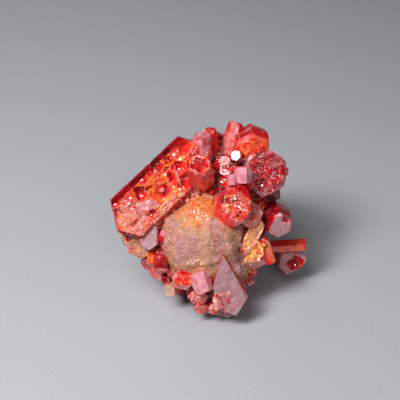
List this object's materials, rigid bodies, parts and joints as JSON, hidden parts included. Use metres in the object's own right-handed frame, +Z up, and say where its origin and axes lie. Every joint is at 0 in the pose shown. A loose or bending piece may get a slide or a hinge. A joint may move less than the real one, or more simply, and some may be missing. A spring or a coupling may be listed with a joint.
{
  "type": "vanadinite on matrix",
  "caption": "Thumbnail mineral specimen: hoppered six-sided red to orange crystals grown on and round a rounded tan rock, cut flat underneath to rest on a shelf",
  "frame": {"origin": "middle of the base, on the surface that the specimen rests on", "axes": "+Z up; the display face looks along -Y and leans back; +X to its right"},
  "size_m": [0.0258, 0.0214, 0.0223],
  "materials": {
    "rock": "matt, finely granular, orange-yellow at the top and mauve-brown below",
    "red_crystal": "resinous to adamantine gloss, deep red in the hollows and orange on the ridges",
    "rose_crystal": "glossy rose-red, partly dusted with tiny crystals",
    "orange_crystal": "glossy orange-red",
    "lilac_crystal": "satin lilac-grey bloom over red",
    "tan_crystal": "satin tan"
  },
  "bodies": {
    "root": {"matrix": "rock", "crown_barrel": "orange_crystal", "mirror_prism": "red_crystal", "small_cube": "rose_crystal", "centre_barrel": "red_crystal", "crest_block": "rose_crystal", "crest_thumb": "red_crystal", "hopper_plate": "red_crystal", "top_barrel": "red_crystal", "druse_barrel": "rose_crystal", "right_prism": "lilac_crystal", "brown_barrel": "orange_crystal", "far_plate": "red_crystal", "far_hexagon": "lilac_crystal", "orange_prism": "orange_crystal", "front_cube": "rose_crystal", "front_orange": "orange_crystal", "front_small": "orange_crystal", "front_plate": "lilac_crystal", "front_wedge": "red_crystal", "left_stack": "lilac_crystal", "left_foot_crystals": "red_crystal", "tan_block": "tan_crystal", "back_plate": "red_crystal", "back_crest_barrel": "red_crystal", "back_left_barrel": "rose_crystal", "back_right_barrel": "orange_crystal", "back_left_plate": "red_crystal", "back_right_prism": "red_crystal", "back_heel": "lilac_crystal", "back_small_prism": "orange_crystal", "back_corner_prism": "rose_crystal"}
  },
  "joints": []
}
